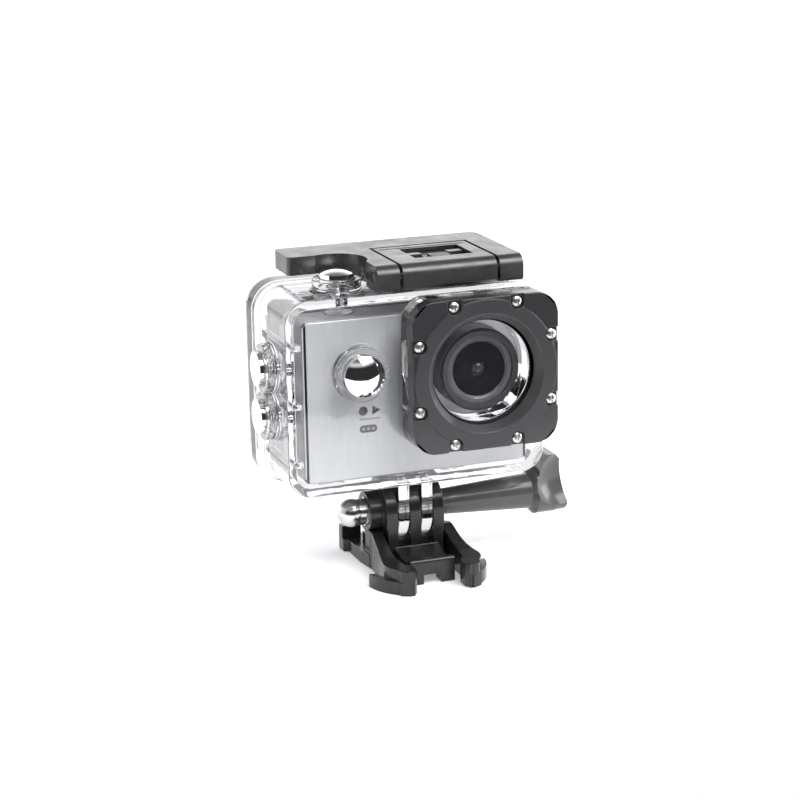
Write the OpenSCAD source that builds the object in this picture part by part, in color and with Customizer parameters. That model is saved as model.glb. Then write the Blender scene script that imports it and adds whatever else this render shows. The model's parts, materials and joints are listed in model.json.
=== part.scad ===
// Action camera in a clear waterproof housing, with a top latch, sprung push buttons,
// a rear door, and a quick-release buckle held by a thumbscrew.
// X runs to the viewer's right, Y to the rear, Z up. The origin is on the flat underside
// of the buckle, straight below the middle of the tilt pivot. Millimetres.

/* [Mount] */
// Height of the tilt pivot above the buckle's underside
pivot_z = 14.6; // [14.4:0.1:16]
// Radius of the thumbscrew's bolt
bolt_r = 2.5; // [2.2:0.05:2.5]
// Thickness of one clear prong
prong_t = 2.85; // [2.6:0.05:2.9]
// Thickness of one black ear of the buckle
ear_t = 3; // [2.8:0.05:3]
// Radius of the rounded ends of prongs and ears
prong_r = 7.4; // [6.8:0.1:7.6]

/* [Housing] */
// Width of the housing's front shell
shell_w = 67.2; // [66.6:0.2:68]
// Wall thickness of the clear shell
wall = 2.4; // [2.2:0.05:2.5]
// Outside corner radius of the front shell
shell_r = 6; // [5:0.5:7]
// Width and height of the square lens plate
plate_size = 38.2; // [37.6:0.2:38.4]
// Corner radius of the lens plate
plate_r = 6; // [5:0.25:7]

/* [Camera] */
// Width of the camera body
camera_w = 59.2; // [58.4:0.2:59.6]
// Height of the camera body
camera_h = 41; // [40:0.2:41.4]
// Radius of the camera's lens barrel
barrel_r = 10.4; // [10:0.1:10.8]

/* [Buttons] */
// How far a housing button travels when pressed
press = 1.4; // [1:0.1:1.4]
// Radius of the front power button's cap
power_cap_r = 5.1; // [4.6:0.1:5.2]
// Radius of the other three caps
cap_r = 4.35; // [4:0.05:4.5]

/* [Hidden] */
$fn = 64;

eps = 0.02;
run = 0.06;                 // radial clearance of a running fit
gap = 0.3;                  // clearance between parts that only pass each other
seam = 0.8;                 // gap between the latch's block and the lever round it

shell_bottom = pivot_z + 8.5;
shell_top = shell_bottom + 49.2;
shell_zc = (shell_bottom + shell_top) / 2;
shell_front = -10;
shell_rear = 12.6;
floor_t = 1.8;
flange_w = shell_w + 3;
flange_bottom = shell_bottom - 1.5;
flange_top = shell_top + 0.7;
flange_h = flange_top - flange_bottom;
flange_zc = (flange_top + flange_bottom) / 2;
flange_r = 7.2;
cavity_w = shell_w - 2 * wall;
cavity_h = 49.2 - wall - floor_t;
cavity_zc = shell_bottom + floor_t + cavity_h / 2;
cavity_r = shell_r - wall + 0.2;
door_front = 12.9;
door_rear = 17.7;
door_wall = 2.2;

lens_x = 14.8;
lens_z = shell_bottom + 28.9;
turret_front = -14.6;
turret_size = plate_size - 0.4;
plate_front = -19;
tunnel_r = 12.7;
opening_r = 15;
screw_near = 8.2;
screw_far = 17.2;
screw_seat = plate_front + 1.2;
glass_front = -16.5;
glass_rear = -15;

hinge_y = 14.6;
hinge_z = flange_bottom - 1.6;
hinge_pin_r = 0.9;
knuckle_r = 2;

latch_bottom = shell_top + 1.1;
latch_top = latch_bottom + 6.3;
latch_front = -13.8;
latch_rear = 18.4;
finger_lift = 1.7;           // the finger arm is thinner than the rest of the lever
latch_pin_y = -10.6;
latch_pin_z = latch_bottom + 3.2;
latch_pin_r = 1.1;
block_x0 = -4.6;
block_x1 = 19.8;
block_rear = 8.4;
lever_x0 = -27.2;
lever_x1 = 26.7;

camera_x = 0.5;
camera_z0 = shell_bottom + 2.55;
camera_zc = camera_z0 + camera_h / 2;
camera_front = -6.6;
camera_split = 3;
camera_rear = 15;
camera_r = 2.2;
camera_wall = 1.3;
faceplate_front = -7.1;

power_pos = [-15.1, shell_front, shell_bottom + 30.2];
shutter_pos = [-17.2, -0.5, shell_top];
side_y = 1.6;
up_pos = [-shell_w / 2, side_y, shell_bottom + 30.9];
down_pos = [-shell_w / 2, side_y, shell_bottom + 18.9];
boss_h = 2.9;
stem_r = 1.5;
camera_button_r = 3.4;

ear_pitch = 6.15;
boss_end = -11.1;
nut_r = 3.6;
buckle_rear = 16.4;
rail_w = 12.6;
tongue_w = 5.9;
tongue_front = -18.8;
arm_hinge = [9.2, -3.2];
arm_top = 10;
wing_t = 4.7;               // half thickness of the knob's wing
web_t = 1.8;                // half of what the scoops leave
scoop_r = 9.5;

// ---- shapes shared by several parts ----

// Rectangle with true round corners, centred
module rounded(w, h, r) {
    square([w - 2 * r, h], center = true);
    square([w, h - 2 * r], center = true);
    for (x = [-1, 1], z = [-1, 1])
        translate([x * (w / 2 - r), z * (h / 2 - r)]) circle(r);
}

// Outline in X and Z, made solid from y0 back to y1
module slab_y(y0, y1) {
    translate([0, y1, 0]) rotate([90, 0, 0]) linear_extrude(y1 - y0) children();
}

// Outline in Y and Z, made solid from x0 to x1
module slab_x(x0, x1) {
    translate([x0, 0, 0]) rotate([90, 0, 90]) linear_extrude(x1 - x0) children();
}

// Outline in X and Y, made solid from z0 up to z1
module slab_z(z0, z1) {
    translate([0, 0, z0]) linear_extrude(z1 - z0) children();
}

module box(x0, x1, y0, y1, z0, z1) {
    translate([x0, y0, z0]) cube([x1 - x0, y1 - y0, z1 - z0]);
}

module rod_x(x0, x1, y, z, r) {
    translate([x0, y, z]) rotate([0, 90, 0]) cylinder(h = x1 - x0, r = r);
}

module rod_y(y0, y1, x, z, r) {
    translate([x, y1, z]) rotate([90, 0, 0]) cylinder(h = y1 - y0, r = r);
}

// Ring about the lens axis
module lens_ring(y0, y1, outer, inner) {
    difference() {
        rod_y(y0, y1, lens_x, lens_z, outer);
        rod_y(y0 - 1, y1 + 1, lens_x, lens_z, inner);
    }
}

// Places children, drawn with +Z as "out of the housing", at each button
module at_power() { translate(power_pos) rotate([90, 0, 0]) children(); }
module at_shutter() { translate(shutter_pos) children(); }
module at_up() { translate(up_pos) rotate([0, -90, 0]) children(); }
module at_down() { translate(down_pos) rotate([0, -90, 0]) children(); }

// The eight screw places round the lens plate
module at_screws(y) {
    for (turn = [0:90:270], side = [-1, 1])
        translate([lens_x, y, lens_z]) rotate([0, turn, 0])
            translate([side * screw_near, 0, screw_far]) rotate([90, 0, 0]) children();
}

// ---- housing ----

// Raised boss round a button, drawn round +Z, with a flared foot
module button_boss(r) {
    translate([0, 0, -eps]) cylinder(h = boss_h + eps, r = r + 1.75);
    translate([0, 0, -0.5]) cylinder(h = 1.5, r1 = r + 2.6, r2 = r + 1.6);
}

// Hollow of a boss, the bore for the button's stem, and the pocket for its o-ring
module button_bore(r) {
    translate([0, 0, 0.4]) cylinder(h = 5, r = r + gap);
    translate([0, 0, -wall - 1]) cylinder(h = wall + 3, r = stem_r + run);
    translate([0, 0, -1.3]) cylinder(h = 0.9, r = 2.15);
}

module prong_outline() {
    translate([0, pivot_z]) circle(prong_r);
    translate([-prong_r, pivot_z]) square([2 * prong_r, shell_bottom - pivot_z + 0.5]);
}

// Small rail that keeps the camera clear of the shell's left wall
module guide_rail(z) {
    x0 = -shell_w / 2 + wall;
    box(x0 - 0.1, x0 + 1.7, shell_front + wall - 0.1, 11, z - 0.7, z + 0.7);
}

module housing_knuckles() {
    for (side = [-1, 1]) {
        x0 = side < 0 ? -20 : 12.3;
        rod_x(x0, x0 + 7.7, hinge_y, hinge_z, knuckle_r);
        box(x0, x0 + 7.7, 10.4, 12.6, hinge_z - 1.5, flange_bottom + 1);
        box(x0, x0 + 7.7, 10.4, hinge_y, hinge_z - 1.5, hinge_z + 1);
    }
}

module front_housing() color([0.93, 0.95, 0.96, 0.35]) difference() {
    union() {
        translate([0, 0, shell_zc]) slab_y(shell_front, shell_rear) rounded(shell_w, 49.2, shell_r);
        translate([0, 0, flange_zc]) slab_y(10.4, shell_rear) rounded(flange_w, flange_h, flange_r);
        translate([lens_x, 0, lens_z]) slab_y(turret_front, shell_front + 1)
            rounded(turret_size, turret_size, plate_r - 0.2);
        at_power() button_boss(power_cap_r);
        at_shutter() button_boss(cap_r);
        at_up() button_boss(cap_r);
        at_down() button_boss(cap_r);
        for (side = [-1, 1])
            slab_x(side * ear_pitch / 2 - prong_t / 2, side * ear_pitch / 2 + prong_t / 2) prong_outline();
        housing_knuckles();
    }
    difference() {
        translate([0, 0, cavity_zc]) slab_y(shell_front + wall, 20) rounded(cavity_w, cavity_h, cavity_r);
        for (z = [8, 22.7, 37.4]) guide_rail(shell_bottom + z);
    }
    rod_y(-20, 0, lens_x, lens_z, tunnel_r);
    at_screws(turret_front + 3.4) cylinder(h = 5, r = 0.7);
    at_power() button_bore(power_cap_r);
    at_shutter() button_bore(cap_r);
    at_up() button_bore(cap_r);
    at_down() button_bore(cap_r);
    rod_x(-10, 10, 0, pivot_z, bolt_r + run);
    rod_x(-30, 30, hinge_y, hinge_z, hinge_pin_r);
    rod_x(-12.3, 12.3, hinge_y, hinge_z, knuckle_r + gap);
}

// Square black frame with a bevelled round opening and a notch at each screw
module lens_plate() color([0.1, 0.1, 0.11]) difference() {
    translate([lens_x, 0, lens_z]) slab_y(plate_front, turret_front)
        rounded(plate_size, plate_size, plate_r);
    // corners sit a little lower than the flat ring
    difference() {
        translate([lens_x, 0, lens_z]) slab_y(plate_front - 1, plate_front + 0.3)
            rounded(plate_size + 2, plate_size + 2, plate_r);
        rod_y(plate_front - 2, plate_front + 1, lens_x, lens_z, 18.6);
    }
    // opening: a steep cone down to the glass, then the seat for the glass
    translate([lens_x, plate_front, lens_z]) rotate([-90, 0, 0])
        cylinder(h = 2.2, r1 = opening_r, r2 = 13.3);
    rod_y(plate_front - 1, turret_front + 1, lens_x, lens_z, 13.3);
    rod_y(glass_front, turret_front + 1, lens_x, lens_z, 14);
    at_screws(screw_seat) {
        translate([0, 0, -4]) cylinder(h = 8, r = 0.85);
        cylinder(h = 4, r = 1.75);
        translate([-1.75, 0, 0]) cube([3.5, 4, 4]);
    }
}

// Pan-head screws with a cross recess
module plate_screws() color([0.8, 0.8, 0.82]) at_screws(screw_seat) difference() {
    union() {
        cylinder(h = 0.5, r = 1.32);
        intersection() {
            cylinder(h = 1, r = 1.32);
            translate([0, 0, -1.1]) sphere(2.1);
        }
        translate([0, 0, -5.5]) cylinder(h = 5.6, r = 0.7);
    }
    for (turn = [0, 90]) rotate([0, 0, turn + 20])
        translate([-0.75, -0.17, 0.45]) cube([1.5, 0.34, 2]);
}

module port_glass() color([0.8, 0.9, 0.95, 0.2]) rod_y(glass_front, glass_rear, lens_x, lens_z, 13.9);

module port_gasket() color([0.2, 0.2, 0.2]) lens_ring(glass_rear, turret_front, 13.9, 12.8);

module oring() rotate_extrude() translate([stem_r + run + 0.27, 0]) circle(0.26);

module button_orings() color([0.15, 0.15, 0.15]) {
    at_power() translate([0, 0, -0.85]) oring();
    at_shutter() translate([0, 0, -0.85]) oring();
    at_up() translate([0, 0, -0.85]) oring();
    at_down() translate([0, 0, -0.85]) oring();
}

// ---- latch ----

// Side outline of the latch: round top edge in front, small radius behind
module latch_profile(y1) {
    r = 2.8;
    difference() {
        translate([latch_front, latch_bottom]) square([y1 - latch_front, latch_top - latch_bottom]);
        difference() {
            translate([latch_front - 1, latch_top - r]) square([r + 1, r + 1]);
            translate([latch_front + r, latch_top - r]) circle(r);
        }
        translate([latch_front, latch_bottom]) rotate(45) square(1.1, center = true);
    }
}

module latch_block() color([0.1, 0.1, 0.11]) difference() {
    union() {
        slab_x(block_x0, block_x1) latch_profile(block_rear);
        for (x = [block_x0 + 1, block_x1 - 4])
            box(x, x + 3, -9, block_rear - 2, shell_top, latch_bottom + 1);
    }
    rod_x(block_x0 - 1, block_x1 + 1, latch_pin_y, latch_pin_z, latch_pin_r);
    // well for the lock slider, the slot its tongue leaves by, and a groove behind the well
    box(1.1, 16.4, -6.6, 4.9, latch_top - 2.4, latch_top + 1);
    box(5.1, 12.1, 4, block_rear + 1, latch_top - 2.5, latch_top - 0.9);
    box(block_x0 + 1, block_x1 - 1, 5.7, 6.4, latch_top - 0.5, latch_top + 1);
}

module latch_pin() color([0.75, 0.75, 0.77])
    rod_x(-10.9, lever_x1 - 1.6, latch_pin_y, latch_pin_z, latch_pin_r);

// Lever seen from above: a frame round the block and an arm towards the left
module lever_outline() {
    difference() {
        union() {
            translate([-11.1, latch_front]) square([lever_x1 + 11.1, latch_rear - latch_front]);
            translate([lever_x0, 8]) square([20, latch_rear - 8 - 1.5]);
            translate([lever_x0 + 1.5, 6.6]) square([20, latch_rear - 6.6]);
            for (y = [8.1, latch_rear - 1.5]) translate([lever_x0 + 1.5, y]) circle(1.5);
            translate([-15.5, 2]) square([6, 8]);
        }
        translate([block_x0 - seam, latch_front - 1])
            square([block_x1 - block_x0 + 2 * seam, block_rear - latch_front + 1 + seam]);
        translate([shutter_pos[0], shutter_pos[1]]) circle(cap_r + 3.35);
        // round corner behind, at the right
        translate([lever_x1 - 2.4, latch_rear - 2.4]) difference() {
            square(3);
            circle(2.4);
        }
    }
}

module latch_lever() color([0.1, 0.1, 0.11]) difference() {
    intersection() {
        slab_z(latch_bottom, latch_top) lever_outline();
        slab_x(lever_x0, lever_x1) latch_profile(latch_rear);
    }
    box(lever_x0 - 1, -13.5, 0, latch_rear + 1, latch_bottom - 1, latch_bottom + finger_lift);
    rod_x(-12, lever_x1 - 1.5, latch_pin_y, latch_pin_z, latch_pin_r + run);
    // pocket over the door's catch, and the socket for the lock's tongue
    box(-8.4, 20.4, 13.4, 16.9, latch_bottom - 1, latch_bottom + 1.3);
    box(4.7, 12.5, block_rear, 12.4, latch_top - 2.8, latch_top - 0.7);
}

// Thumb slider with a ribbed pad and a tongue that reaches into the lever
module lock_slider() color([0.14, 0.14, 0.15]) {
    difference() {
        union() {
            box(3, 14.4, -5.9, 1.9, latch_top - 2.3, latch_top - 1.3);
            box(5.4, 11.8, -5.2, block_rear - 0.2, latch_top - 2.3, latch_top - 1.1);
            box(6.2, 11.2, -4.9, -1.3, latch_top - 1.2, latch_top - 0.3);
            for (x = [1.5, 12.2]) box(x, x + 3.7, -0.4, 1.9, latch_top - 2.3, latch_top - 0.5);
        }
        for (y = [-4.1, -3.1, -2.1]) box(6, 11.4, y - 0.2, y + 0.2, latch_top - 0.6, latch_top);
    }
}

// ---- rear door ----

module back_door() color([0.93, 0.95, 0.96, 0.35]) difference() {
    union() {
        translate([0, 0, flange_zc]) slab_y(door_front, door_rear) rounded(flange_w, flange_h, flange_r);
        rod_x(-12, 12, hinge_y, hinge_z, knuckle_r);
        box(-12, 12, hinge_y, door_rear, hinge_z, flange_bottom + 1);
        box(-7.9, 19.9, 14, 15.6, flange_top - 1, latch_bottom + 0.5);
    }
    translate([0, 0, cavity_zc]) slab_y(0, door_rear - door_wall) rounded(cavity_w, cavity_h, cavity_r);
    // groove for the gasket
    translate([0, 0, cavity_zc]) slab_y(0, door_front + 1)
        rounded(cavity_w + 2.4, cavity_h + 2.4, cavity_r + 1.2);
    rod_x(-20, 20, hinge_y, hinge_z, hinge_pin_r + run);
    for (x = [-20.3, 12]) rod_x(x, x + 8.3, hinge_y, hinge_z, knuckle_r + gap);
}

module door_gasket() color([0.85, 0.85, 0.85]) difference() {
    translate([0, 0, cavity_zc]) slab_y(shell_rear + 0.05, door_front + 1)
        rounded(cavity_w + 2.3, cavity_h + 2.3, cavity_r + 1.15);
    translate([0, 0, cavity_zc]) slab_y(0, 20) rounded(cavity_w - 0.2, cavity_h - 0.2, cavity_r);
}

module door_pin() color([0.75, 0.75, 0.77]) rod_x(-19.8, 19.8, hinge_y, hinge_z, hinge_pin_r);

// ---- camera ----

module camera_slab(y0, y1, inset) {
    translate([camera_x, 0, camera_zc]) slab_y(y0, y1)
        rounded(camera_w - 2 * inset, camera_h - 2 * inset, camera_r - inset * 0.6);
}

module at_camera_screws(y) {
    for (x = [-1, 1], z = [-1, 1])
        translate([camera_x + x * (camera_w / 2 - 3.4), y, camera_zc + z * (camera_h / 2 - 3.4)])
            rotate([90, 0, 0]) children();
}

module camera_front_shell() color([0.55, 0.56, 0.58]) difference() {
    union() {
        difference() {
            camera_slab(camera_front, camera_split, 0);
            camera_slab(camera_front + camera_wall, 20, camera_wall);
        }
        at_camera_screws(camera_split) cylinder(h = camera_split - camera_front - 1, r = 2);
    }
    rod_y(-20, 0, lens_x, lens_z, barrel_r - 1.5);
    at_power() translate([0, 0, -8]) cylinder(h = 8, r = camera_button_r + 0.9 + 0.15);
    at_shutter() translate([0, 0, -8]) cylinder(h = 8, r = camera_button_r + 0.15);
    at_up() translate([0, 0, -8]) cylinder(h = 8, r = camera_button_r + 0.15);
    at_down() translate([0, 0, -8]) cylinder(h = 8, r = camera_button_r + 0.15);
    at_camera_screws(camera_split + 1) cylinder(h = 20, r = 0.8);
    at_camera_screws(camera_front + 1) cylinder(h = 3, r = 1.6);
}

module camera_faceplate() color([0.82, 0.82, 0.84]) difference() {
    camera_slab(faceplate_front, camera_front, 0.3);
    rod_y(-20, 0, lens_x, lens_z, barrel_r);
    at_power() translate([0, 0, -8]) cylinder(h = 8, r = camera_button_r + 0.9 + 0.15);
}

module camera_rear_shell() color([0.12, 0.12, 0.13]) difference() {
    union() {
        difference() {
            camera_slab(camera_split, camera_rear, 0);
            camera_slab(0, camera_rear - camera_wall, camera_wall);
        }
        at_camera_screws(camera_split + 6) cylinder(h = 6, r = 2);
    }
    translate([camera_x, 0, camera_zc]) slab_y(10, 20) rounded(45, 34, 1);
    box(-24, 12, 6, 12.6, camera_z0 - 1, camera_z0 + camera_wall + 0.1);
    at_up() translate([0, 0, -8]) cylinder(h = 8, r = camera_button_r + 0.15);
    at_down() translate([0, 0, -8]) cylinder(h = 8, r = camera_button_r + 0.15);
    at_shutter() translate([0, 0, -8]) cylinder(h = 8, r = camera_button_r + 0.15);
    at_camera_screws(camera_split + 4) cylinder(h = 20, r = 0.8);
}

module camera_screws() color([0.3, 0.3, 0.32]) at_camera_screws(camera_front + 0.9) difference() {
    union() {
        cylinder(h = 0.8, r = 1.5);
        translate([0, 0, -12.5]) cylinder(h = 12.6, r = 0.8);
    }
    for (turn = [0, 90]) rotate([0, 0, turn]) translate([-0.9, -0.2, 0.4]) cube([1.8, 0.4, 1]);
}

// Stepped black barrel, hollow for the lens stack
module lens_barrel() color([0.16, 0.16, 0.17]) difference() {
    union() {
        rod_y(-13.4, camera_front, lens_x, lens_z, barrel_r);
        rod_y(-14, -13, lens_x, lens_z, barrel_r - 0.5);
        rod_y(camera_front - 0.5, 1, lens_x, lens_z, barrel_r - 1.5);
    }
    rod_y(-20, -12.4, lens_x, lens_z, 8.6);
    rod_y(-20, 5, lens_x, lens_z, 6.9);
}

module lens_bezel() color([0.33, 0.33, 0.34]) difference() {
    lens_ring(-13.5, -12.4, 8.55, 6.9);
    translate([lens_x, -13.6, lens_z]) rotate([-90, 0, 0]) cylinder(h = 0.7, r1 = 7.6, r2 = 6.8);
}

module lens_glass() color([0.03, 0.03, 0.04]) lens_ring(-12.9, -12.1, 6.85, 1.9);

// Small domed front element in its ring
module front_lens() color([0.2, 0.2, 0.25]) {
    rod_y(-12.5, 1.2, lens_x, lens_z, 1.85);
    intersection() {
        rod_y(-14, -12.4, lens_x, lens_z, 1.3);
        translate([lens_x, -11.1, lens_z]) sphere(1.9);
    }
}

module sensor_board() color([0.05, 0.3, 0.12]) {
    box(lens_x - 9, lens_x + 9, 1.25, 2.25, lens_z - 9, lens_z + 9);
}

module main_board() color([0.05, 0.3, 0.12]) {
    box(-23.2, 24.2, 4, 5, camera_z0 + 2.6, camera_z0 + camera_h - 2.6);
    box(-2, 9, 3.1, 4.1, lens_z - 6, lens_z + 5);
    box(-20, -13, 3.3, 4.1, lens_z - 16, lens_z - 9);
    box(-9, -3, 3.3, 4.1, lens_z + 3, lens_z + 9);
    for (i = [0:4]) box(12 + 2.4 * i, 13.2 + 2.4 * i, 3.5, 4.1, lens_z - 18, lens_z - 16);
}

module battery() color([0.2, 0.25, 0.5]) box(-22, 10, 6.3, 12.2, camera_z0 + 1.6, camera_z0 + 33.5);

module battery_door() color([0.12, 0.12, 0.13]) {
    box(-23.8, 11.8, 6.2, 12.4, camera_z0, camera_z0 + camera_wall);
    box(-22.8, -21.8, 8, 11, camera_z0 - 0.25, camera_z0);
}

module lcd_screen() color([0.02, 0.02, 0.03]) {
    translate([camera_x, 0, camera_zc]) slab_y(12.8, camera_rear - 0.2) rounded(44.8, 33.8, 0.9);
}

// Camera's own button, drawn round +Z; out is its top below the housing's face
module camera_button(r, out, length) {
    translate([0, 0, out - length]) cylinder(h = length, r = r);
    translate([0, 0, out - length]) cylinder(h = 0.8, r = r + 0.5);
}

module camera_power_button() color([0.6, 0.6, 0.62])
    at_power() camera_button(camera_button_r + 0.9, -wall - 1.1, 2.9);
module camera_shutter_button() color([0.6, 0.6, 0.62])
    at_shutter() camera_button(camera_button_r, -5.35, 2.9);
module camera_up_button() color([0.6, 0.6, 0.62])
    at_up() camera_button(camera_button_r, -4.25, 2.6);
module camera_down_button() color([0.6, 0.6, 0.62])
    at_down() camera_button(camera_button_r, -4.25, 2.6);

// ---- housing buttons ----

// Domed cap on a stem, drawn round +Z, hollow underneath for its spring
module plunger(r, dome, tip) {
    skirt = 2.2;
    shoulder = 4.3;
    ball = (r * r + dome * dome) / (2 * dome);
    difference() {
        union() {
            translate([0, 0, skirt]) cylinder(h = shoulder - skirt, r = r);
            intersection() {
                translate([0, 0, shoulder + dome - ball]) sphere(ball, $fn = 96);
                translate([0, 0, shoulder - eps]) cylinder(h = dome + 1, r = r);
            }
        }
        translate([0, 0, skirt - 1]) cylinder(h = 2.3, r = 3.3);
    }
    translate([0, 0, -tip]) cylinder(h = tip + 3.6, r = stem_r);
}

module power_plunger() color([0.85, 0.85, 0.87]) at_power() plunger(power_cap_r, 1.9, 2.8);
module shutter_plunger() color([0.85, 0.85, 0.87]) at_shutter() plunger(cap_r, 0.9, 4.7);
module up_plunger() color([0.85, 0.85, 0.87]) at_up() plunger(cap_r, 0.7, 3.6);
module down_plunger() color([0.85, 0.85, 0.87]) at_down() plunger(cap_r, 0.7, 3.6);

// Compression spring round the stem, a swept helix along +Z
spring_r = 2.45;
wire_r = 0.2;
spring_turns = 4;
spring_low = 0.65;
spring_high = 3.25;
steps_per_turn = 20;
wire_sides = 6;

function helix(t) = [spring_r * cos(360 * t), spring_r * sin(360 * t),
    spring_low + (spring_high - spring_low) * t / spring_turns];

module spring() {
    steps = spring_turns * steps_per_turn;
    points = [for (i = [0:steps]) let (t = i / steps_per_turn, c = helix(t))
        for (k = [0:wire_sides - 1]) let (a = 360 * k / wire_sides)
            [c[0] + wire_r * cos(a) * cos(360 * t), c[1] + wire_r * cos(a) * sin(360 * t),
                c[2] + wire_r * sin(a)]];
    sides = [for (i = [0:steps - 1], k = [0:wire_sides - 1]) let (n = (k + 1) % wire_sides)
        [i * wire_sides + k, (i + 1) * wire_sides + k, (i + 1) * wire_sides + n, i * wire_sides + n]];
    start = [for (k = [0:wire_sides - 1]) k];
    finish = [for (k = [wire_sides - 1:-1:0]) steps * wire_sides + k];
    polyhedron(points, concat(sides, [start], [finish]));
}

module power_spring() color([0.7, 0.7, 0.72]) at_power() spring();
module shutter_spring() color([0.7, 0.7, 0.72]) at_shutter() spring();
module up_spring() color([0.7, 0.7, 0.72]) at_up() spring();
module down_spring() color([0.7, 0.7, 0.72]) at_down() spring();

// Open retaining ring that keeps a stem in its bore, just inside the wall
module retainer(z) {
    translate([0, 0, z - 0.4]) difference() {
        cylinder(h = 0.4, r = 2.5);
        translate([0, 0, -1]) cylinder(h = 3, r = stem_r);
        translate([0, -0.6, -1]) cube([4, 1.2, 3]);
    }
}

module power_clip() color([0.6, 0.6, 0.62]) at_power() retainer(-wall - 0.05);
module shutter_clip() color([0.6, 0.6, 0.62]) at_shutter() retainer(-wall - 0.05);
module up_clip() color([0.6, 0.6, 0.62]) at_up() retainer(-wall - 0.05);
module down_clip() color([0.6, 0.6, 0.62]) at_down() retainer(-wall - 0.05);

// ---- buckle ----

module ear_outline() {
    translate([0, pivot_z]) circle(prong_r);
    translate([-prong_r, 4]) square([2 * prong_r, pivot_z - 4]);
}

// Half of the base seen from above, from the middle out to the rail's edge
module base_outline() {
    polygon([[-8.7, buckle_rear], [-rail_w, buckle_rear], [-rail_w, 12.8], [-11.4, 12.2],
        [-11.4, 3], [-arm_hinge[0] - 1.5, -2.4], [-8.2, -8], [8.2, -8],
        [arm_hinge[0] + 1.5, -2.4], [11.4, 3], [11.4, 12.2], [rail_w, 12.8],
        [rail_w, buckle_rear], [8.7, buckle_rear]]);
}

module buckle_base() color([0.09, 0.09, 0.1]) difference() {
    union() {
        slab_z(0, 3.4) base_outline();
        box(-8.7, 8.7, -7.4, 9, 3.3, 6.4);
        // ramp from the platform down to the front bar
        slab_x(-tongue_w, tongue_w) polygon([[-15, 2.4], [-15, 4.6], [-7.3, 6.4], [-7.3, 2.4]]);
        box(-tongue_w, tongue_w, tongue_front + 1, -7, 2.4, 5.2);
        box(-tongue_w, tongue_w, tongue_front, -16.9, 2.4, 5.5);
        rod_x(-tongue_w, tongue_w, tongue_front + 1, 5.5, 1);
        for (side = [-1, 1]) {
            x0 = side < 0 ? -tongue_w : tongue_w - 3.6;
            box(x0, x0 + 3.6, tongue_front, -14.5, 0, 2.5);
            x1 = side < 0 ? -rail_w : 7.4;
            box(x1, x1 + rail_w - 7.4, 13.6, buckle_rear, 3.3, 6.6);
        }
        for (i = [-1:1])
            slab_x(i * ear_pitch - ear_t / 2, i * ear_pitch + ear_t / 2) ear_outline();
        // boss for the captive nut, with its web
        rod_x(boss_end, -ear_pitch, 0, pivot_z, 5.1);
        box(boss_end + 1.2, -ear_pitch, -3.4, 3.4, 3.3, pivot_z);
    }
    rod_x(-20, 20, 0, pivot_z, bolt_r + run);
    // hexagonal pocket for the nut
    translate([boss_end - 1, 0, pivot_z]) rotate([0, 90, 0]) cylinder(h = 3.9, r = 4.05, $fn = 6);
    for (side = [-1, 1]) translate([side * arm_hinge[0], arm_hinge[1], -1])
        cylinder(h = arm_top + 2, r = 1.6 + 0.09);
    for (side = [-1, 1]) translate([side * arm_hinge[0], arm_hinge[1], -1])
        rotate([0, 0, side * 3]) translate([-2.05, -12, 0]) cube([4.1, 12, arm_top + 2]);
}

// Sprung arm that hooks the mounting plate, seen from above, for the right side
module arm_outline() {
    translate(arm_hinge) circle(1.6);
    polygon([[7.75, -3.4], [10.7, -3.8], [11.2, -10], [12, -14.5], [12.6, -18], [12.3, -20.2],
        [10.8, -22.9], [9.4, -24.8], [7.2, -25.7], [6.3, -24.4], [6.3, -21.2], [7.8, -19.5],
        [8.3, -14], [8.2, -9]]);
    translate([8.4, -23.3]) circle(2.2);
}

// Curved finger pad that runs back outside the arm
module finger_outline() {
    intersection() {
        difference() {
            translate([2.2, -13.6]) circle(13.2);
            translate([2.2, -13.6]) circle(11.4);
        }
        polygon([[6, -28], [18, -28], [18, -14.2], [12, -15.5], [9.5, -22]]);
    }
}

// Side outline of the arm: tall at the ears, low and level at the hook
module arm_profile() {
    polygon([[0, 0.3], [0, arm_top], [-4.5, arm_top], [-8.2, arm_top - 1.7], [-12.2, 6.9],
        [-15.5, 6.4], [-27, 6.1], [-27, 0.3]]);
}

module spring_arm() {
    intersection() {
        slab_z(0, 12) arm_outline();
        slab_x(4, 15) arm_profile();
    }
    slab_z(0, 3.3) {
        finger_outline();
        polygon([[8.2, -25.8], [10.6, -24.6], [10.9, -21.5], [8, -22]]);
    }
}

module clip_right() color([0.09, 0.09, 0.1]) spring_arm();
module clip_left() color([0.09, 0.09, 0.1]) mirror([1, 0, 0]) spring_arm();

module acorn_nut() color([0.8, 0.8, 0.82]) difference() {
    union() {
        translate([boss_end + 2.85, 0, pivot_z]) rotate([0, -90, 0]) cylinder(h = 3, r = 3.95, $fn = 6);
        rod_x(-14.6, boss_end + 1, 0, pivot_z, nut_r - 0.25);
        translate([-14.5, 0, pivot_z]) sphere(nut_r);
    }
    rod_x(-15.4, 0, 0, pivot_z, bolt_r + run);
}

// ---- thumbscrew ----

module thumbscrew_bolt() color([0.75, 0.75, 0.77]) rod_x(-14.2, 30, 0, pivot_z, bolt_r);

module knob_block() {
    intersection() {
        slab_y(-6.2, 6.2) translate([0, pivot_z]) polygon([[34.6, -5.7], [35.2, 9.2], [37, 10.3],
            [39.4, 10.2], [41.2, 8.4], [42.6, -2.6], [42.5, -5], [41.9, -5.8]]);
        slab_x(30, 46) {
            translate([0, pivot_z]) circle(5.9);
            translate([-wing_t, pivot_z]) square([2 * wing_t, 10.8]);
        }
    }
}

// Profile of handle and collar: distance from the axis, then place along it
module handle_profile() {
    polygon([[bolt_r, 7.85], [3.2, 7.85], [4.6, 33.1], [6.1, 34.4], [6.1, 39.9], [5.9, 40.1],
        [0, 40.1], [0, 30], [bolt_r, 30]]);
}

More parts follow.
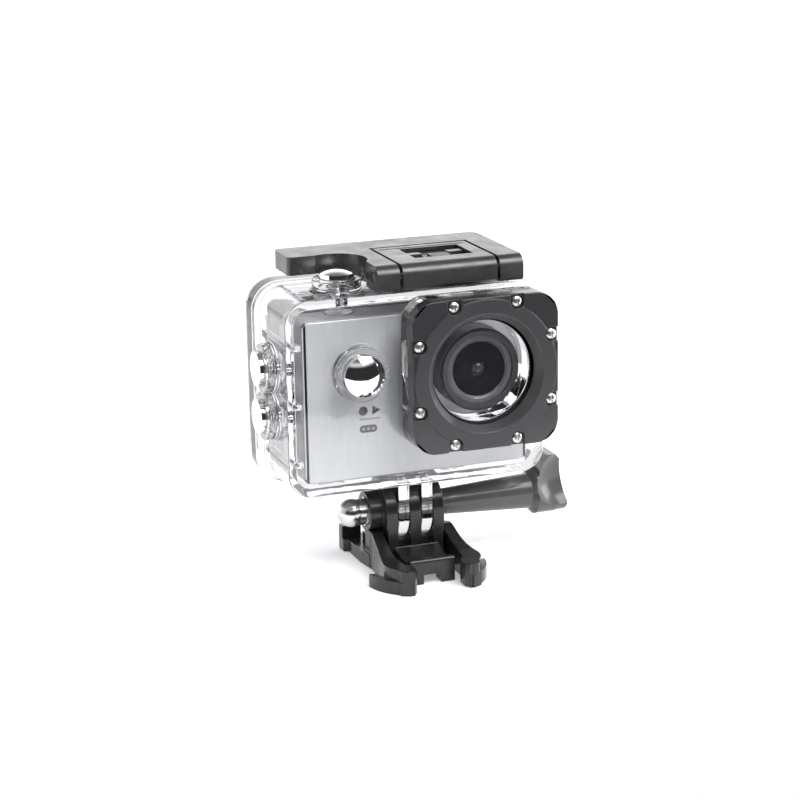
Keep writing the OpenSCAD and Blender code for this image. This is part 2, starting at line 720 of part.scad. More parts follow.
module thumbscrew_knob() color([0.09, 0.09, 0.1]) difference() {
    union() {
        translate([0, 0, pivot_z]) rotate([0, 90, 0]) rotate_extrude() handle_profile();
        knob_block();
    }
    // scoops for finger and thumb
    for (side = [-1, 1]) translate([41.2, side * (web_t + scoop_r), pivot_z + 4]) sphere(scoop_r);
}

front_housing();
lens_plate();
plate_screws();
port_glass();
port_gasket();
button_orings();
latch_block();
latch_pin();
latch_lever();
lock_slider();
back_door();
door_gasket();
door_pin();
camera_front_shell();
camera_faceplate();
camera_rear_shell();
camera_screws();
lens_barrel();
lens_bezel();
lens_glass();
front_lens();
sensor_board();
main_board();
battery();
battery_door();
lcd_screen();
camera_power_button();
camera_shutter_button();
camera_up_button();
camera_down_button();
power_plunger();
shutter_plunger();
up_plunger();
down_plunger();
power_spring();
shutter_spring();
up_spring();
down_spring();
power_clip();
shutter_clip();
up_clip();
down_clip();
buckle_base();
clip_left();
clip_right();
acorn_nut();
thumbscrew_knob();
thumbscrew_bolt();
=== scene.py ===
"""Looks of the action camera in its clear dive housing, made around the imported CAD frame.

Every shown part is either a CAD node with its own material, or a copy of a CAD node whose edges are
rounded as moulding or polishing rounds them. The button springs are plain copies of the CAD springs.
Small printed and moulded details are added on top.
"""

import json
import math

import bmesh
import bpy
from mathutils import Matrix, Vector

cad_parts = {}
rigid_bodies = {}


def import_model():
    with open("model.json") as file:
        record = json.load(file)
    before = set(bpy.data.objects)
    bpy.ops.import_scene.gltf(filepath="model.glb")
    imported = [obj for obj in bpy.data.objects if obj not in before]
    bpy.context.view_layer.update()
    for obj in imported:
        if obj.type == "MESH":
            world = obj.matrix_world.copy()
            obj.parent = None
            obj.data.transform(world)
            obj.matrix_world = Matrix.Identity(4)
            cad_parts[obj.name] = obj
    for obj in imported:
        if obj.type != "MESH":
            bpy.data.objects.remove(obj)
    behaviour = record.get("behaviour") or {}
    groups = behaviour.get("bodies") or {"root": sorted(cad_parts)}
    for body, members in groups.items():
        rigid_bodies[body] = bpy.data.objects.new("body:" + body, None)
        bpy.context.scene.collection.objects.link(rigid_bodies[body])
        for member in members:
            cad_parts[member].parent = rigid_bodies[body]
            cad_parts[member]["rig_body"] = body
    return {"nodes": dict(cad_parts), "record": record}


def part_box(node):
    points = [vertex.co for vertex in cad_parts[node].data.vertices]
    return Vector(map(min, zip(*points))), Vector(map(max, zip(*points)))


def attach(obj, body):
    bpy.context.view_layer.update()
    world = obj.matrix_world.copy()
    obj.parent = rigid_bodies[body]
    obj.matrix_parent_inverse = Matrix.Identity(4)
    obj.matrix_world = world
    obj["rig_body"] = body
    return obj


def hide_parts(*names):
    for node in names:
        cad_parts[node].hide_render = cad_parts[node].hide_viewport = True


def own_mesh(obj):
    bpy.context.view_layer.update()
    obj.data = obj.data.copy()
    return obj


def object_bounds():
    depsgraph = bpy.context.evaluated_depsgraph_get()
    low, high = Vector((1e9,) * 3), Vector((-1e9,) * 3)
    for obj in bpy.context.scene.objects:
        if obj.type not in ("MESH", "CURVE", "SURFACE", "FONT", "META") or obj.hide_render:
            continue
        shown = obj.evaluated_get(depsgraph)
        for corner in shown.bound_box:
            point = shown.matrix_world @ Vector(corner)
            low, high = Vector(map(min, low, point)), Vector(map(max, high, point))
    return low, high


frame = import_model()
CAD_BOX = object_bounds()
NODES = frame["nodes"]
MM = 0.001


def centre(node):
    low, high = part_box(node)
    return (low + high) / 2


def new_object(name, data):
    thing = bpy.data.objects.new(name, data)
    bpy.context.scene.collection.objects.link(thing)
    return thing


LENS = centre("port_glass")

# ---------------------------------------------------------------- node tree helpers


class Tree:
    """A material's node tree with its Principled shader, and short names for the nodes used here."""

    def __init__(self, name, **constants):
        self.material = bpy.data.materials.new(name)
        self.material.use_nodes = True
        self.nodes = self.material.node_tree.nodes
        self.links = self.material.node_tree.links
        self.shader = self.nodes["Principled BSDF"]
        self.output = self.nodes["Material Output"]
        for socket, value in constants.items():
            self.shader.inputs[socket.replace("_", " ")].default_value = value
        self.where = self.nodes.new("ShaderNodeTexCoord").outputs["Object"]

    def add(self, kind, inputs=(), **settings):
        node = self.nodes.new(kind)
        for key, value in settings.items():
            setattr(node, key, value)
        for key, value in dict(inputs).items():
            if isinstance(value, bpy.types.NodeSocket):
                self.links.new(value, node.inputs[key])
            else:
                node.inputs[key].default_value = value
        return node

    def set(self, socket, source):
        self.links.new(source, self.shader.inputs[socket])

    def stretched(self, scale, offset=(0, 0, 0)):
        """Object coordinates, scaled apart along the axes for grain that runs one way."""
        return self.add("ShaderNodeMapping", {"Vector": self.where, "Scale": scale,
                                              "Location": offset}).outputs["Vector"]

    def noise(self, size, detail=3.0, vector=None, roughness=0.5):
        """Noise whose blobs are about size metres across."""
        return self.add("ShaderNodeTexNoise", {"Vector": vector or self.where, "Scale": 1 / size,
                                               "Detail": detail, "Roughness": roughness}).outputs["Fac"]

    def remap(self, value, low, high, start=0.35, end=0.65):
        return self.add("ShaderNodeMapRange", {"Value": value, "From Min": start, "From Max": end,
                                               "To Min": low, "To Max": high}).outputs["Result"]

    def ramp(self, value, *stops):
        node = self.add("ShaderNodeValToRGB", {"Fac": value})
        elements = node.color_ramp.elements
        while len(elements) < len(stops):
            elements.new(0.5)
        for element, (place, colour) in zip(elements, stops):
            element.position = place
            element.color = colour if len(colour) == 4 else (*colour, 1)
        return node.outputs["Color"]

    def bump(self, height, depth, strength=1.0, after=None):
        inputs = {"Height": height, "Distance": depth, "Strength": strength}
        if after is not None:
            inputs["Normal"] = after
        return self.add("ShaderNodeBump", inputs).outputs["Normal"]

    def math(self, operation, a, b=0.0):
        node = self.add("ShaderNodeMath", operation=operation)
        for socket, value in zip(node.inputs, (a, b)):
            if isinstance(value, bpy.types.NodeSocket):
                self.links.new(value, socket)
            else:
                socket.default_value = value
        return node.outputs["Value"]

    def mix(self, factor, a, b):
        node = self.add("ShaderNodeMix", data_type="RGBA")
        self.links.new(factor, node.inputs[0])
        self.links.new(a, node.inputs[6])
        self.links.new(b, node.inputs[7])
        return node.outputs[2]

    def along(self, axis):
        return self.add("ShaderNodeSeparateXYZ", {"Vector": self.where}).outputs[axis]

    def from_axis(self, point, axis):
        """Distance from the line through point along X, Y or Z."""
        flat = [0.0 if name == axis else 1.0 for name in "XYZ"]
        moved = self.add("ShaderNodeMapping", {"Vector": self.where, "Location": -Vector(point)})
        spread = self.add("ShaderNodeVectorMath", {0: moved.outputs["Vector"], 1: flat}, operation="MULTIPLY")
        length = self.add("ShaderNodeVectorMath", {0: spread.outputs["Vector"]}, operation="LENGTH")
        return length.outputs["Value"]

    def lets_lamps_through(self, tint):
        """Lamps shine through this clear material instead of leaving a black shadow."""
        path = self.add("ShaderNodeLightPath").outputs["Is Shadow Ray"]
        open_air = self.add("ShaderNodeBsdfTransparent", {"Color": tint}).outputs["BSDF"]
        mixed = self.add("ShaderNodeMixShader", {0: path, 1: self.shader.outputs["BSDF"], 2: open_air})
        self.links.new(mixed.outputs["Shader"], self.output.inputs["Surface"])


def grey(value):
    return (value, value, value, 1)


# ---------------------------------------------------------------- materials


def moulded_plastic(name, colour, roughness, grain=0.35 * MM, depth=0.006 * MM, tone_and_sheen_side=None,
                    **constants):
    """Opaque moulded plastic: a fine grain, faint flow marks in the colour, and smudges in the gloss.

    The side argument (x, z, colour): what lies right of x and above z is painted that paler colour, partly
    the part's own paler tone and partly a painted sheen."""
    t = Tree(name, Roughness=roughness, **constants)
    dark = [c * 0.8 for c in colour[:3]]
    pale = [min(1, c * 1.25 + 0.004) for c in colour[:3]]
    flow = t.noise(9 * MM, 4, t.stretched((1, 1, 2.2)))
    colours = t.ramp(flow, (0.3, dark), (0.7, pale))
    if tone_and_sheen_side:
        # Paler colour painted right of x and above z: partly the part's own tone, partly a painted sheen
        side, height, tone_and_sheen_grey = tone_and_sheen_side
        tone_and_sheen = t.ramp(flow, (0.3, [c * 0.9 for c in tone_and_sheen_grey]), (0.7, [c * 1.1 for c in tone_and_sheen_grey]))
        beyond = t.remap(t.along("X"), 0, 1, side, side + 0.2 * MM)
        above = t.remap(t.along("Z"), 0, 1, height, height + 1.2 * MM)
        colours = t.mix(t.math("MULTIPLY", beyond, above), colours, tone_and_sheen)
    t.set("Base Color", colours)
    smudge = t.noise(6 * MM, 5, roughness=0.6)
    t.set("Roughness", t.remap(smudge, roughness * 0.82, min(1, roughness * 1.22)))
    t.set("Normal", t.bump(t.noise(grain, 2), depth))
    return t.material


def polished_metal(name, colour, roughness, smudge=0.05, dull_below=None):
    """Plated or polished metal: handling marks change the gloss, with a faint unevenness of the surface.

    Parts below the height dull_below are duller and a little darker."""
    t = Tree(name, Metallic=1.0, Roughness=roughness)
    colours = t.ramp(t.noise(4 * MM, 3), (0.3, [c * 0.94 for c in colour]), (0.7, colour))
    gloss = t.remap(t.noise(2.5 * MM, 6, roughness=0.65), roughness, roughness + smudge)
    if dull_below:
        dull = t.remap(t.along("Z"), 1, 0, dull_below, dull_below + 1 * MM)
        darker = t.ramp(t.noise(4 * MM, 3), (0.3, (0.58, 0.58, 0.59)), (0.7, (0.66, 0.66, 0.67)))
        colours = t.mix(dull, colours, darker)
        gloss = t.math("ADD", gloss, t.math("MULTIPLY", dull, 0.14))
    t.set("Base Color", colours)
    t.set("Roughness", gloss)
    t.set("Normal", t.bump(t.noise(1.6 * MM, 2), 0.004 * MM, 0.6))
    return t.material


def clear_plastic(name, tint, roughness, ripple, ior=1.49, haze=0.02, **constants):
    """Clear moulding: glassy, with the slow ripple that moulding leaves, and fine scuffs in the gloss."""
    t = Tree(name, Base_Color=tint, Transmission_Weight=1.0, IOR=ior, Roughness=roughness, **constants)
    t.set("Roughness", t.remap(t.noise(5 * MM, 6, roughness=0.7), roughness, roughness + haze))
    t.set("Normal", t.bump(t.noise(5 * MM, 2), ripple))
    t.lets_lamps_through((0.95, 0.955, 0.96, 1))
    return t.material


SATIN_RADIUS = 18.5 * MM    # the flat ring round the port ends here


def lens_plate_black():
    """Gloss black plate: the flat ring round the port is satin, the corners outside it are glossy."""
    t = Tree("lens_plate_black", Specular_IOR_Level=0.5)
    ring = t.remap(t.from_axis(LENS, "Y"), 0, 1, SATIN_RADIUS, SATIN_RADIUS + 0.2 * MM)
    t.set("Base Color", t.ramp(ring, (0.0, (0.040, 0.040, 0.043)), (1.0, (0.034, 0.034, 0.037))))
    scuff = t.noise(6 * MM, 3, roughness=0.5)
    t.set("Roughness", t.math("ADD", t.remap(ring, 0.3, 0.14, 0, 1), t.remap(scuff, 0.0, 0.05)))
    t.set("Normal", t.bump(t.noise(0.6 * MM, 2), 0.0015 * MM))
    return t.material


def silver_face():
    """Sprayed silver with fine flakes and a soft upright brushing."""
    t = Tree("silver_face", Metallic=0.4, Roughness=0.38, Coat_Weight=0.15, Coat_Roughness=0.18)
    brushed = t.noise(0.25 * MM, 4, t.stretched((1, 1, 0.04)))
    flakes = t.noise(0.09 * MM, 1)
    t.set("Base Color", t.ramp(brushed, (0.3, (0.57, 0.575, 0.59)), (0.7, (0.63, 0.635, 0.65))))
    t.set("Roughness", t.remap(flakes, 0.32, 0.46))
    t.set("Normal", t.bump(brushed, 0.004 * MM, 0.5, t.bump(flakes, 0.003 * MM, 0.5)))
    return t.material


def turned(name, colour, roughness, pitch=0.3 * MM, metallic=0.0, depth=0.02 * MM):
    """Turned surface: fine rings about the lens axis that catch the light."""
    t = Tree(name, Metallic=metallic, Roughness=roughness)
    rings = t.math("SINE", t.math("MULTIPLY", t.from_axis(LENS, "Y"), 2 * math.pi / pitch))
    t.set("Base Color", t.ramp(t.noise(3 * MM, 4), (0.3, [c * 0.8 for c in colour]), (0.7, colour)))
    t.set("Roughness", t.remap(t.noise(2 * MM, 5), roughness, roughness + 0.1))
    t.set("Normal", t.bump(rings, depth))
    return t.material


def rubber(name, colour, roughness):
    t = Tree(name, Roughness=roughness, Specular_IOR_Level=0.35, Sheen_Weight=0.15, Sheen_Roughness=0.6)
    dust = t.noise(2 * MM, 6, roughness=0.75)
    clean, dusty = [c * 0.85 for c in colour], [c * 1.3 + 0.01 for c in colour]
    t.set("Base Color", t.ramp(dust, (0.35, clean), (0.8, dusty)))
    t.set("Roughness", t.remap(dust, roughness - 0.08, roughness + 0.08))
    t.set("Normal", t.bump(t.noise(0.25 * MM, 3), 0.01 * MM))
    return t.material


def coated(name, colour, film, roughness=0.03):
    """Dark coated glass: a bluish film whose colour shifts slowly over the surface."""
    t = Tree(name, Roughness=roughness, IOR=1.5, Specular_Tint=film)
    t.set("Base Color", t.ramp(t.noise(8 * MM, 2), (0.3, colour), (0.7, [c * 1.8 + 0.002 for c in colour])))
    t.set("Roughness", t.remap(t.noise(3 * MM, 6, roughness=0.7), roughness, roughness + 0.05))
    t.set("Normal", t.bump(t.noise(6 * MM, 1), 0.004 * MM))
    return t.material


def circuit_board():
    """Green solder mask with copper runs in a grid and paler pads."""
    t = Tree("circuit_board", Roughness=0.35, Coat_Weight=0.3)
    bricks = t.add("ShaderNodeTexBrick", {
        "Vector": t.where, "Color1": (0.01, 0.09, 0.035, 1), "Color2": (0.012, 0.12, 0.045, 1),
        "Mortar": (0.05, 0.22, 0.08, 1), "Scale": 1.0, "Mortar Size": 0.12 * MM,
        "Brick Width": 2.4 * MM, "Row Height": 0.9 * MM})
    t.set("Base Color", bricks.outputs["Color"])
    t.set("Roughness", t.remap(t.noise(1.5 * MM, 4), 0.28, 0.45))
    t.set("Normal", t.bump(bricks.outputs["Fac"], 0.03 * MM))
    return t.material


def battery_wrap():
    """Dark shrink sleeve with a paler band at its low-x end and faint wrinkles."""
    t = Tree("battery_wrap", Roughness=0.4, Coat_Weight=0.4)
    low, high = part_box("battery")
    band = t.remap(t.along("X"), 0, 1, low.x, high.x)
    t.set("Base Color", t.ramp(band, (0.08, (0.35, 0.36, 0.38)), (0.1, (0.02, 0.03, 0.06))))
    t.set("Roughness", t.remap(t.noise(4 * MM, 5), 0.3, 0.5))
    t.set("Normal", t.bump(t.noise(2.5 * MM, 4, t.stretched((0.3, 1, 1))), 0.05 * MM))
    return t.material


# The handle beyond these is painted paler, partly its own tone and partly a painted sheen; its strip below
# HANDLE_LOW stays dark as painted shade
HANDLE_LEFT, HANDLE_LOW = 7.8 * MM, 10 * MM    # the thumbscrew's pale handle is right of and above these
DULL_HEIGHT = 24 * MM    # the acorn nut lies below this height, the chrome caps and screws above it

MATERIALS = {
    "clear_polycarbonate": clear_plastic("clear_polycarbonate", (0.955, 0.96, 0.968, 1), 0.012, 0.05 * MM),
    "gloss_black_plastic": lens_plate_black(),
    "satin_black_plastic": moulded_plastic("satin_black_plastic", (0.028, 0.028, 0.030), 0.3,
                                           Specular_IOR_Level=0.9),
    # The buckle's thumbscrew handle is painted paler: partly its own tone, partly a painted sheen
    "buckle_plastic": moulded_plastic("buckle_plastic", (0.013, 0.013, 0.014), 0.22, 0.6 * MM, 0.003 * MM,
                                      tone_and_sheen_side=(HANDLE_LEFT, HANDLE_LOW, (0.075, 0.075, 0.078))),
    "camera_dark_plastic": moulded_plastic("camera_dark_plastic", (0.05, 0.05, 0.055), 0.42),
    "camera_grey_plastic": moulded_plastic("camera_grey_plastic", (0.30, 0.30, 0.31), 0.38),
    "brushed_silver": silver_face(),
    "chrome_plate": polished_metal("chrome_plate", (0.91, 0.91, 0.92), 0.03, dull_below=DULL_HEIGHT),
    "steel": polished_metal("steel", (0.62, 0.615, 0.61), 0.24, 0.12),
    "port_glass": clear_plastic("port_glass", (0.99, 0.995, 1.0, 1), 0.0, 0.0002 * MM, 1.46, 0.003,
                                Specular_Tint=(0.08, 0.09, 0.14, 1)),
    "black_rubber": rubber("black_rubber", (0.02, 0.02, 0.02), 0.72),
    "white_silicone": rubber("white_silicone", (0.78, 0.78, 0.76), 0.55),
    "lens_black": turned("lens_black", (0.035, 0.035, 0.038), 0.3),
    "lens_grey": turned("lens_grey", (0.11, 0.11, 0.115), 0.34, 0.25 * MM, 0.3, 0.01 * MM),
    "black_glass": coated("black_glass", (0.004, 0.004, 0.005), (0.6, 0.6, 0.64, 1)),
    "coated_glass": coated("coated_glass", (0.02, 0.02, 0.024), (0.9, 0.92, 1.0, 1), 0.0),
    "circuit_board": circuit_board(),
    "battery_wrap": battery_wrap(),
    "camera_button": polished_metal("camera_button", (0.78, 0.78, 0.80), 0.12),
}

SLOTS = {part["node"]: part["material_slot"] for part in frame["record"]["subparts"]}


# ---------------------------------------------------------------- pieces


ON_BOX = 0.35 * MM             # an edge this near a side of the node's box counts as lying along it
SHARP = math.radians(30)       # edges that turn less than this aren't rounded
MERGE, SLIVER = 0.002 * MM, 0.001 * MM
FLAT = math.radians(0.1)
BEVEL_SEGMENTS = 3


def outer_edges(bm, low, high, fine):
    """Bevel weights: 1 on sharp edges along two sides of the box low..high, fine on the other sharp ones."""
    weight = bm.edges.layers.float.new("bevel_weight_edge")
    for edge in bm.edges:
        middle = (edge.verts[0].co + edge.verts[1].co) / 2
        touching = sum(min(abs(middle[i] - low[i]), abs(middle[i] - high[i])) < ON_BOX for i in range(3))
        sharp = len(edge.link_faces) == 2 and edge.calc_face_angle(0) > SHARP
        edge[weight] = (1.0 if touching >= 2 else fine) if sharp else 0.0


def softened(node, width, fine, clamped):
    """A copy of a CAD node that stands for it: outer edges rounded by width, the others by fine x width."""
    source = NODES[node]
    bm = bmesh.new()
    bm.from_mesh(source.data)
    bmesh.ops.remove_doubles(bm, verts=bm.verts, dist=MERGE)
    bmesh.ops.dissolve_degenerate(bm, edges=bm.edges, dist=SLIVER)
    bmesh.ops.dissolve_limit(bm, angle_limit=FLAT, verts=bm.verts, edges=bm.edges,
                             use_dissolve_boundaries=False)
    corners = [v.co for v in bm.verts]
    low, high = ([choose(c[i] for c in corners) for i in range(3)] for choose in (min, max))
    outer_edges(bm, low, high, fine)
    mesh = bpy.data.meshes.new(node + "_softened")
    bm.to_mesh(mesh)
    bm.free()
    if "custom_normal" in mesh.attributes:
        mesh.attributes.remove(mesh.attributes["custom_normal"])
    copy = new_object(node + "_softened", mesh)
    mesh.shade_smooth()
    bevel = copy.modifiers.new("edges", "BEVEL")
    bevel.width = width
    bevel.segments = BEVEL_SEGMENTS
    bevel.limit_method = "WEIGHT"
    bevel.use_clamp_overlap = clamped
    bevel.miter_outer = "MITER_ARC"
    shading = copy.modifiers.new("shading", "WEIGHTED_NORMAL")
    shading.mode, shading.weight = "FACE_AREA", 100
    slot = SLOTS[node]
    mesh.materials.clear()
    mesh.materials.append(MATERIALS[slot])
    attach(copy, source["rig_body"])
    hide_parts(node)


# Rounding width in millimetres, how fine the inner edges are against it, and whether short edges hold it back
SOFTENED = {
    "lens_plate": (0.35, 0.6, False),
    "latch_block": (0.45, 0.5, True),
    "camera_faceplate": (0.3, 0.6, False),
    "camera_front_shell": (0.4, 0.6, False),
    "buckle_base": (0.3, 0.8, False),
    "clip_left": (0.3, 1, True),
    "clip_right": (0.3, 1, True),
    "thumbscrew_knob": (0.35, 1, True),
    "front_housing": (0.25, 1, False),
}
for part, (width, fine, clamped) in SOFTENED.items():
    softened(part, width * MM, fine, clamped)

for part, node in NODES.items():
    if part in SOFTENED:
        continue
    node.data.materials.clear()
    node.data.materials.append(MATERIALS[SLOTS[part]])


def add_piece(name, bm, body, slot):
    """A mesh of the visual model's own, riding on one body."""
    mesh = bpy.data.meshes.new(name)
    bmesh.ops.recalc_face_normals(bm, faces=bm.faces)
    bm.to_mesh(mesh)
    bm.free()
    thing = new_object(name, mesh)
    mesh.materials.append(MATERIALS[slot])
    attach(thing, body)


def prism(corners, shift):
    """Solid between a flat outline of corners and the same outline moved by shift."""
    bm = bmesh.new()
    face = bm.faces.new([bm.verts.new(corner) for corner in corners])
    grown = bmesh.ops.extrude_face_region(bm, geom=[face])["geom"]
    moved = [part for part in grown if isinstance(part, bmesh.types.BMVert)]
    bmesh.ops.translate(bm, vec=shift, verts=moved)
    return bm


def arc(radius, start, end, steps):
    return [(radius * math.cos(a), radius * math.sin(a))
            for a in (math.radians(start + (end - start) * i / steps) for i in range(steps + 1))]


def disc(radius, sides):
    return arc(radius, 0, 360 * (sides - 1) / sides, sides - 1)


def pill(width, height):
    """Outline of a bar with half-round ends."""
    r, reach = height / 2, (width - height) / 2
    right_end = [(x + reach, z) for x, z in arc(r, -90, 90, 12)]
    left_end = [(x - reach, z) for x, z in arc(r, 90, 270, 12)]
    return right_end + left_end


def upright(outline, place):
    """Corners of an outline in millimetres that stands round place, facing forwards."""
    return [place + Vector((x * MM, 0, z * MM)) for x, z in outline]


# Springs of the housing's buttons: each is a copy of its CAD spring with a mesh of its own, on the spring's
# body
for button, axis in (("power", Vector((0, 1, 0))), ("shutter", Vector((0, 0, -1))),
                     ("up", Vector((1, 0, 0))), ("down", Vector((1, 0, 0)))):
    spring = button + "_spring"
    coil = new_object(spring + "_coil", NODES[spring].data.copy())
    coil.matrix_world = NODES[spring].matrix_world
    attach(coil, NODES[spring]["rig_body"])
    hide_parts(spring)
    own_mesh(coil)

# Marks printed on the camera's face under the power button: a dot, a play arrow, a bar, and a pill with dots
face_low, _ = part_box("camera_faceplate")
power_low, power_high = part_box("power_plunger")
power = (power_low + power_high) / 2
INK = 0.04 * MM
print_x = power.x + 3.2 * MM
mark_z = power_low.z / MM - 5.2
bar_z, pill_z = mark_z - 2.1, mark_z - 4.6
PILL_ASIDE, DOT_STEP = -0.4, 1.25


def printed(name, outline, x, z, slot, layer=1):
    """A mark on the camera's face, in millimetres. Layer 2 lies on layer 1, a hair clear of it."""
    place = Vector((print_x + x * MM, face_low.y - layer * INK, z * MM))
    ink = prism(upright(outline, place), Vector((0, INK * 0.9, 0)))
    add_piece(name, ink, NODES["camera_faceplate"]["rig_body"], slot)


printed("print_record_dot", disc(1.15, 24), -1.7, mark_z, "camera_dark_plastic")
printed("print_play_arrow", [(-0.9, -1.15), (1.2, 0), (-0.9, 1.15)], 1.6, mark_z, "camera_dark_plastic")
printed("print_thin_bar", pill(5.6, 0.45), 0, bar_z, "camera_grey_plastic")
printed("print_pill", pill(4.6, 1.9), PILL_ASIDE, pill_z, "camera_dark_plastic")
for step in (-1, 0, 1):
    printed("print_pill_dot_%d" % (step + 2), disc(0.36, 12), PILL_ASIDE + step * DOT_STEP, pill_z,
            "camera_grey_plastic", 2)

# Small lugs on the rim of the power button's clear collar
RIM = 1.3 * MM         # how far the collar's rim lies outside the cap
LUG_BACK = 2.6 * MM    # how far the lugs' fronts lie behind the cap's
LUG_DEPTH = 1.4 * MM
rim = power_high.x - power.x + RIM
for number, angle in enumerate((14, -16, 160, 200)):
    turn = math.radians(angle)
    spot = Vector((power.x + rim * math.cos(turn), power_low.y + LUG_BACK, power.z + rim * math.sin(turn)))
    lug = prism(upright(pill(1.5, 0.75), spot), Vector((0, LUG_DEPTH, 0)))
    add_piece("power_collar_lug_%d" % (number + 1), lug, NODES["front_housing"]["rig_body"],
              "clear_polycarbonate")

# Small arrow moulded on the latch's left cheek, pointing at the lock
lever_low, lever_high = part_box("latch_lever")
block_low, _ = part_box("latch_block")
ARROW = [(-2.0, -1.1), (0.6, 0), (-2.0, 1.1)]    # seen from above, in millimetres
SUNK, THICK = 0.1 * MM, 0.09 * MM
spot = Vector((block_low.x - 2.4 * MM, lever_low.y + 4.2 * MM, lever_high.z))
arrow = prism([spot + Vector((x * MM, y * MM, -SUNK)) for x, y in ARROW], Vector((0, 0, THICK)))
add_piece("lock_arrow", arrow, NODES["latch_lever"]["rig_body"], "camera_dark_plastic")

# ---------------------------------------------------------------- studio

SHEET_REACH = 8.0       # half the width of the floor sheet
SHEET_FRONT = -0.155    # the sheet ends here, in front of the object
SHEET_SLANT = -0.3 / 8  # and its edge runs a little askew

floor = new_object("floor", bpy.data.meshes.new("floor"))
sheet = bmesh.new()
bmesh.ops.create_grid(sheet, x_segments=1, y_segments=1, size=SHEET_REACH)
for corner in sheet.verts:
    if corner.co.y < 0:
        corner.co.y = SHEET_FRONT + SHEET_SLANT * corner.co.x
sheet.to_mesh(floor.data)
sheet.free()
# White paper that glows a little, like a light table, so that shadows stay faint
paper = Tree("paper", Base_Color=(0.92, 0.92, 0.93, 1), Roughness=0.8, Specular_IOR_Level=0.1,
             Emission_Color=(0.97, 0.98, 1.0, 1), Emission_Strength=0.3)
floor.data.materials.append(paper.material)


MIDDLE = (CAD_BOX[0] + CAD_BOX[1]) / 2


def softbox(name, offset, width, height, radiance):
    """Rectangular lamp at MIDDLE + offset, facing MIDDLE. Its power follows its area."""
    lamp = bpy.data.lights.new(name, "AREA")
    lamp.shape = "RECTANGLE"
    lamp.size, lamp.size_y = width, height
    lamp.energy = radiance * math.pi * width * height
    thing = new_object(name, lamp)
    thing.location = MIDDLE + Vector(offset)
    thing.rotation_euler = (MIDDLE - thing.location).to_track_quat("-Z", "Y").to_euler()


softbox("overhead", (0.29, -0.46, 0.66), 0.65, 0.4, 7.0)
softbox("side", (0.75, -0.12, 0.12), 0.4, 0.4, 6.0)

# The room lights the object evenly, but less from low in front, where the photographer stands. Glossy
# reflections show a stronger contrast: nearly black low in front, a dim ceiling, and a bright band behind.
# The camera itself sees white.
FRONT_LIGHT, FRONT_MIRRORED = 0.4, 0.03
WALL_MIRRORED, CEILING_MIRRORED, BAND_MIRRORED = 0.8, 0.2, 1.9
world = bpy.data.worlds.new("studio")
bpy.context.scene.world = world
world.use_nodes = True
room = world.node_tree
direction = room.nodes.new("ShaderNodeTexCoord").outputs["Generated"]
axes = room.nodes.new("ShaderNodeSeparateXYZ")
room.links.new(direction, axes.inputs["Vector"])


def room_ramp(value, *stops):
    node = room.nodes.new("ShaderNodeValToRGB")
    room.links.new(value, node.inputs["Fac"])
    while len(node.color_ramp.elements) < len(stops):
        node.color_ramp.elements.new(0.5)
    for element, (place, level) in zip(node.color_ramp.elements, stops):
        element.position, element.color = place, grey(level)
    return node.outputs["Color"]


def room_scaled(value, factor, shift):
    node = room.nodes.new("ShaderNodeMath")
    node.operation = "MULTIPLY_ADD"
    room.links.new(value, node.inputs[0])
    node.inputs[1].default_value, node.inputs[2].default_value = factor, shift
    return node.outputs["Value"]


def room_mix(factor, a, b):
    """Mixes two grey levels, each a socket or a number."""
    node = room.nodes.new("ShaderNodeMix")
    node.data_type = "RGBA"
    room.links.new(factor, node.inputs["Factor"])
    for socket, value in (("A", a), ("B", b)):
        if isinstance(value, bpy.types.NodeSocket):
            room.links.new(value, node.inputs[socket])
        else:
            node.inputs[socket].default_value = grey(value)
    return node.outputs["Result"]


def room_product(a, b):
    node = room.nodes.new("ShaderNodeMath")
    node.operation = "MULTIPLY"
    room.links.new(a, node.inputs[0])
    room.links.new(b, node.inputs[1])
    return node.outputs["Value"]


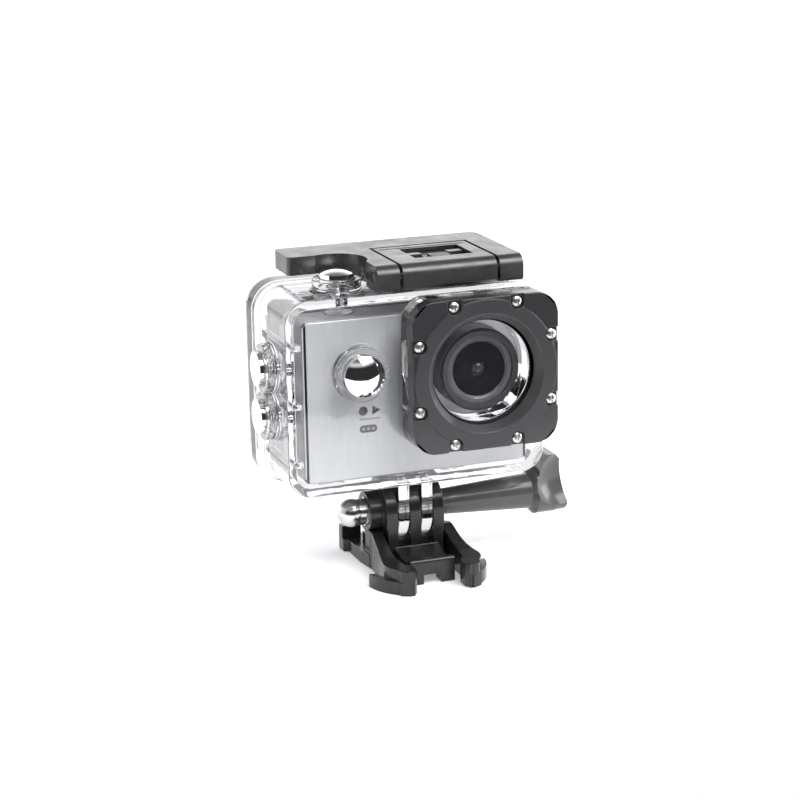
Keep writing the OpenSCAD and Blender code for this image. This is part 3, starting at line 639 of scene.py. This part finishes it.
rays = room.nodes.new("ShaderNodeLightPath").outputs
front = room_ramp(room_scaled(axes.outputs["Y"], -0.5, 0.5), (0.55, 0.0), (0.72, 1.0))
low_down = room_ramp(axes.outputs["Z"], (0.42, 1.0), (0.6, 0.0))
behind = room_ramp(room_scaled(axes.outputs["Y"], 0.5, 0.5), (0.62, 0.0), (0.85, 1.0))
band = room_ramp(axes.outputs["Z"], (-0.05, 0.0), (0.1, 1.0), (0.4, 1.0), (0.6, 0.0))
dark_front = room_product(front, low_down)
bright_back = room_product(behind, band)
lit = room_mix(dark_front, 1.0, FRONT_LIGHT)
ceiling = room_ramp(axes.outputs["Z"], (0.6, 0.0), (0.75, 1.0))
walls = room_mix(dark_front, WALL_MIRRORED, FRONT_MIRRORED)
mirrored = room_mix(bright_back, room_mix(ceiling, walls, CEILING_MIRRORED), BAND_MIRRORED)
mirror = room_product(rays["Is Glossy Ray"], rays["Is Reflection Ray"])
by_ray = room_mix(mirror, lit, mirrored)
seen = room_mix(rays["Is Camera Ray"], by_ray, 1.0)
room.links.new(seen, room.nodes["Background"].inputs["Color"])
room.nodes["Background"].inputs["Strength"].default_value = 1.0

# ---------------------------------------------------------------- camera

# The camera stands in front, a little left and above, and looks past the lens plate to frame the object
AZIMUTH, ELEVATION, ROLL = math.radians(-20), math.radians(15.2), math.radians(-1.0)
DISTANCE = 0.5739
# How far the plate's centre lies right of and above the line of sight
PLATE_ASIDE, PLATE_ABOVE = 0.02127, 0.00631
FOCAL = 106.0

plate_low, plate_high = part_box("lens_plate")
plate = Vector(((plate_low.x + plate_high.x) / 2, plate_low.y, (plate_low.z + plate_high.z) / 2))
back = Vector((math.sin(AZIMUTH) * math.cos(ELEVATION), -math.cos(AZIMUTH) * math.cos(ELEVATION),
               math.sin(ELEVATION)))
level = Vector((math.cos(AZIMUTH), math.sin(AZIMUTH), 0))
upright = back.cross(level)
right = level * math.cos(ROLL) + upright * math.sin(ROLL)
up = upright * math.cos(ROLL) - level * math.sin(ROLL)

camera = new_object("camera", bpy.data.cameras.new("camera"))
camera.data.lens = FOCAL
camera.data.sensor_width = 36
camera.data.clip_start, camera.data.clip_end = 0.01, 50
stand = plate + back * DISTANCE - right * PLATE_ASIDE - up * PLATE_ABOVE
camera.matrix_world = Matrix((
    (right.x, up.x, back.x, stand.x), (right.y, up.y, back.y, stand.y),
    (right.z, up.z, back.z, stand.z), (0, 0, 0, 1)))
bpy.context.scene.camera = camera

bpy.context.scene.view_settings.view_transform = "Standard"
